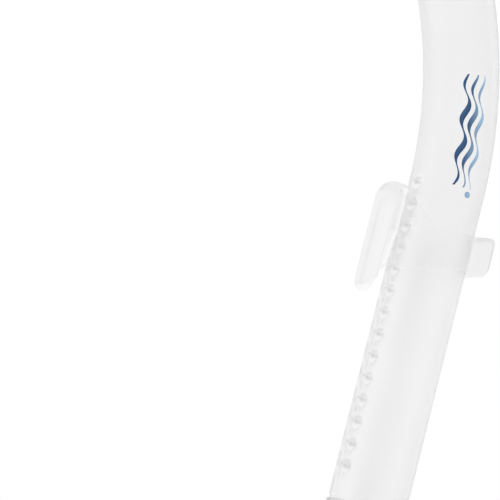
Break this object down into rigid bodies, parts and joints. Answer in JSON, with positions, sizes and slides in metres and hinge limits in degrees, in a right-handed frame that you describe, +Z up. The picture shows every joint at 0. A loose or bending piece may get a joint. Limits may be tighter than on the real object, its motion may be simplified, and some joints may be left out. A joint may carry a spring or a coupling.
{
  "type": "snorkel",
  "caption": "Clear curved snorkel with a float valve on top, a sliding strap keeper on a ratchet row, a purge chamber and a soft mouthpiece.",
  "frame": {"origin": "middle of the bite wings, between the wearer's teeth, on the mouthpiece's axis", "axes": "+Z up along the straight part of the barrel; -X towards the wearer's head, the way the barrel bends, the keeper's hook and the mouthpiece point; Y across"},
  "size_m": [0.1144, 0.06, 0.3649],
  "materials": {
    "clear_plastic": "clear, glossy",
    "clear_elastomer": "clear, satin",
    "clear_silicone": "translucent, satin",
    "blue_plastic": "satin moulded",
    "white_plastic": "moulded",
    "float_foam": "fine moulded skin",
    "seal_rubber": "matte",
    "bright_band": "bright sleeve with a woven reflective grain"
  },
  "bodies": {
    "lower": {"purge_chamber": "clear_plastic", "coupling_ring": "clear_plastic", "barrel_seal": "seal_rubber", "purge_seat": "white_plastic", "purge_cover": "blue_plastic", "mouthpiece": "clear_silicone", "mouthpiece_tie": "blue_plastic"},
    "barrel": {"barrel_tube": "clear_plastic", "visibility_band": "bright_band", "valve_body": "blue_plastic", "valve_cap": "blue_plastic", "float_cage": "blue_plastic"},
    "keeper": {"strap_keeper": "clear_elastomer"},
    "float": {"float": "float_foam", "float_seal": "seal_rubber"},
    "purge": {"purge_diaphragm": "clear_silicone"}
  },
  "joints": [
    {"name": "barrel_swivel", "type": "hinge", "parent": "lower", "child": "barrel", "pos_m": [0.066, 0, 0.035], "axis": [0, 0, 1], "range_deg": [-60, 60]},
    {"name": "keeper_slide", "type": "slide", "parent": "barrel", "child": "keeper", "axis": [0, 0, 1], "range_m": [-0.056, 0.007]},
    {"name": "float_lift", "type": "slide", "parent": "barrel", "child": "float", "axis": [-0.6691, 0, 0.7431], "range_m": [0, 0.007]},
    {"name": "purge_lift", "type": "slide", "parent": "lower", "child": "purge", "axis": [0, 0, -1], "range_m": [0, 0.001], "stiffness_N_per_m": 200}
  ]
}
